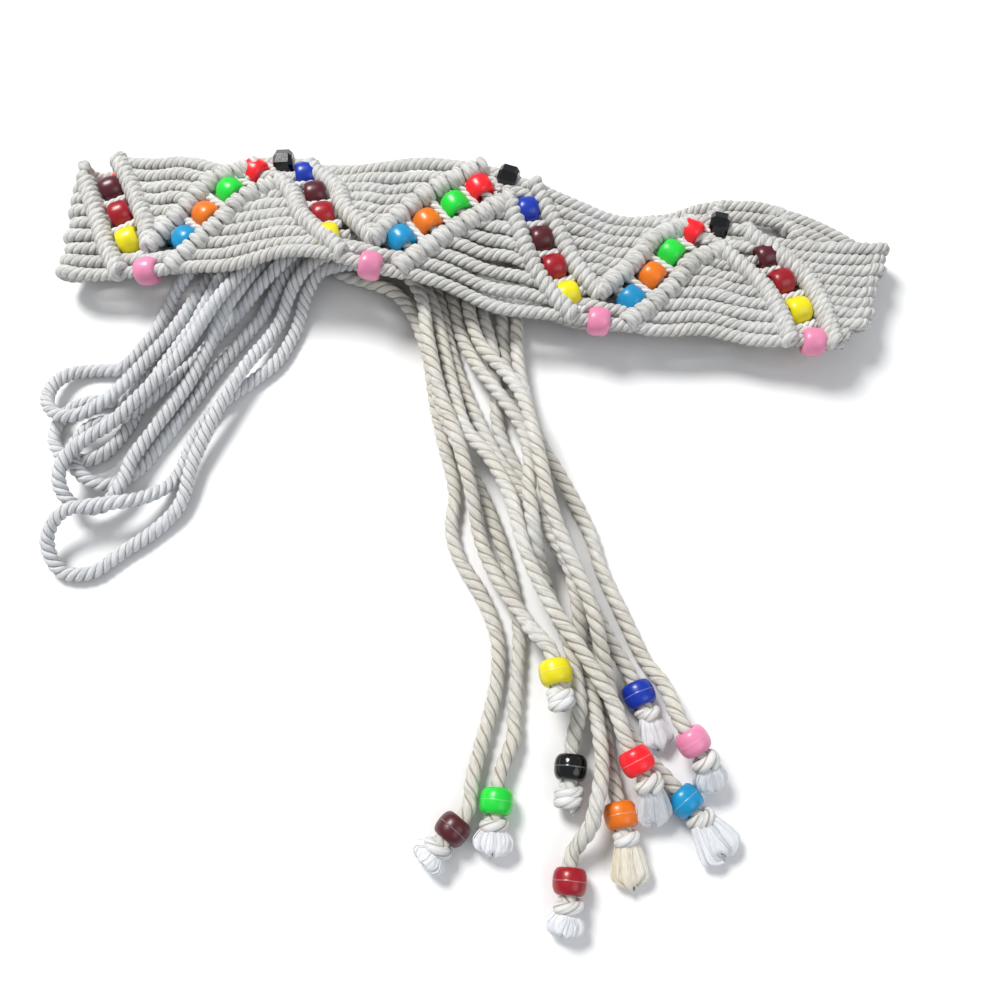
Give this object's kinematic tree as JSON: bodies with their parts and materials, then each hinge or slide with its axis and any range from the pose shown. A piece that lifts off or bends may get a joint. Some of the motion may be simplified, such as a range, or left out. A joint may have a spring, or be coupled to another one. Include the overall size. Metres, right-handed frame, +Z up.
{
  "type": "beaded belt",
  "caption": "Knotted cord belt with zigzag rows of pony beads, a beaded fringe at one end and cord loops at the other, lying flat as a flattened ring.",
  "frame": {"origin": "on the surface that the belt lies on, under the middle of the band's footprint, free cords left out", "axes": "+X along the band's front layer from the left fold to the right fold, +Y across the band away from the fringe, +Z up out of the surface"},
  "size_m": [0.2692, 0.2432, 0.0296],
  "materials": {
    "cotton_cord": "matt off-white twisted cotton cord",
    "bead_pink": "glossy opaque pink plastic",
    "bead_sky": "glossy opaque sky plastic",
    "bead_orange": "glossy opaque orange plastic",
    "bead_green": "glossy opaque green plastic",
    "bead_coral": "glossy opaque coral plastic",
    "bead_black": "glossy opaque black plastic",
    "bead_blue": "glossy opaque blue plastic",
    "bead_maroon": "glossy opaque maroon plastic",
    "bead_red": "glossy opaque red plastic",
    "bead_yellow": "glossy opaque yellow plastic"
  },
  "bodies": {
    "root": {"bead_01_maroon": "bead_maroon", "bead_02_red": "bead_red", "bead_03_yellow": "bead_yellow", "bead_04_pink": "bead_pink", "bead_05_sky": "bead_sky", "bead_06_orange": "bead_orange", "bead_07_green": "bead_green", "bead_08_coral": "bead_coral", "bead_09_black": "bead_black", "bead_10_blue": "bead_blue", "bead_11_maroon": "bead_maroon", "bead_12_red": "bead_red", "bead_13_yellow": "bead_yellow", "bead_14_pink": "bead_pink", "bead_15_sky": "bead_sky", "bead_16_orange": "bead_orange", "bead_17_green": "bead_green", "bead_18_coral": "bead_coral", "bead_19_black": "bead_black", "bead_20_blue": "bead_blue", "bead_21_maroon": "bead_maroon", "bead_22_red": "bead_red", "bead_23_yellow": "bead_yellow", "bead_24_pink": "bead_pink", "bead_25_sky": "bead_sky", "bead_26_orange": "bead_orange", "bead_27_green": "bead_green", "bead_28_coral": "bead_coral", "bead_29_black": "bead_black", "bead_30_maroon": "bead_maroon", "bead_31_red": "bead_red", "bead_32_yellow": "bead_yellow", "bead_33_pink": "bead_pink", "fringe_bead_black": "bead_black", "fringe_bead_blue": "bead_blue", "fringe_bead_coral": "bead_coral", "fringe_bead_green": "bead_green", "fringe_bead_maroon": "bead_maroon", "fringe_bead_orange": "bead_orange", "fringe_bead_pink": "bead_pink", "fringe_bead_red": "bead_red", "fringe_bead_sky": "bead_sky", "fringe_bead_yellow": "bead_yellow", "fringe_cord_black": "cotton_cord", "fringe_cord_blue": "cotton_cord", "fringe_cord_coral": "cotton_cord", "fringe_cord_green": "cotton_cord", "fringe_cord_maroon": "cotton_cord", "fringe_cord_orange": "cotton_cord", "fringe_cord_pink": "cotton_cord", "fringe_cord_red": "cotton_cord", "fringe_cord_sky": "cotton_cord", "fringe_cord_yellow": "cotton_cord", "loop_1": "cotton_cord", "loop_2": "cotton_cord", "loop_3": "cotton_cord", "loop_4": "cotton_cord", "loop_5": "cotton_cord", "macrame_band": "cotton_cord"}
  },
  "joints": []
}
